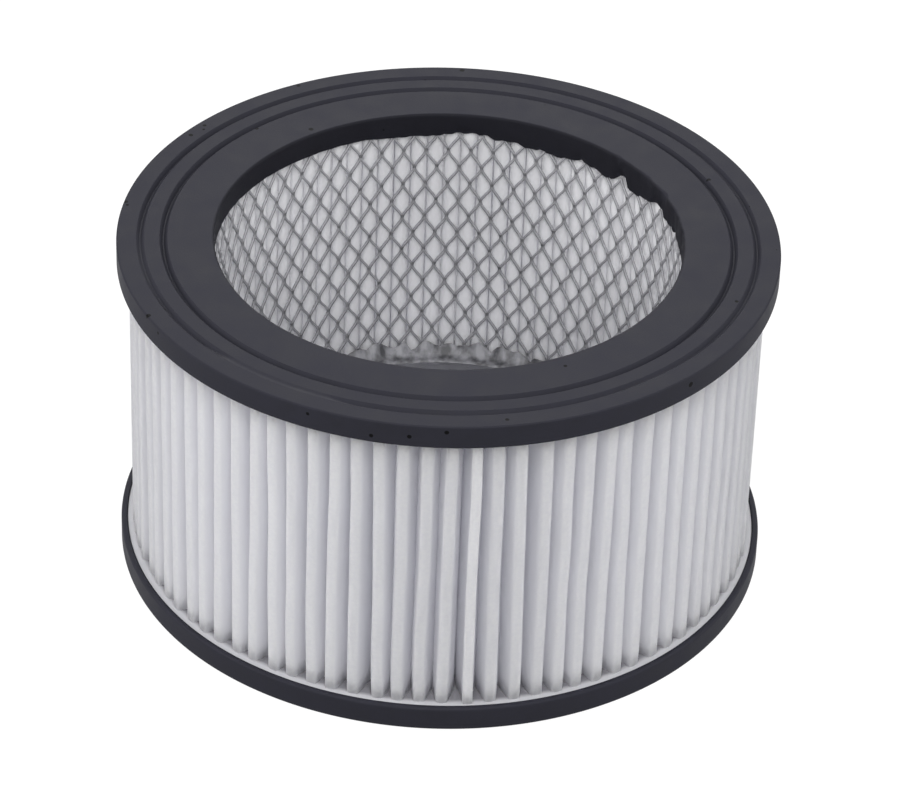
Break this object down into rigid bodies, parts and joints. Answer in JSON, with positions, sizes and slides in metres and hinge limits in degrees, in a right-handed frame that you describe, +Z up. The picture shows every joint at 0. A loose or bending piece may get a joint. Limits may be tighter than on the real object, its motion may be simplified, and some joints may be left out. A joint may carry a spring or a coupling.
{
  "type": "vacuum cartridge filter",
  "caption": "Cylindrical pleated cartridge filter for a vacuum cleaner: folded white filter cloth around a steel mesh tube, between dark cast end rings, open above and closed below.",
  "frame": {"origin": "centre of the filter's lower face", "axes": "+Z up along the filter's axis towards the open end; the cloth's bonded seam faces -Y"},
  "size_m": [0.16, 0.16, 0.088],
  "materials": {
    "cast_polyurethane": "matt, cast, with small air pits",
    "potting": "matt, self-levelled",
    "filter_cloth": "bonded nonwoven, faintly fibrous",
    "mesh_steel": "dull zinc grey, expanded sheet",
    "plate_steel": "satin, pressed sheet"
  },
  "bodies": {
    "root": {"top_end_cap": "cast_polyurethane", "pleated_media": "filter_cloth", "inner_mesh_tube": "mesh_steel", "closing_plate": "plate_steel", "bottom_potting": "potting", "bottom_end_cap": "cast_polyurethane"}
  },
  "joints": []
}
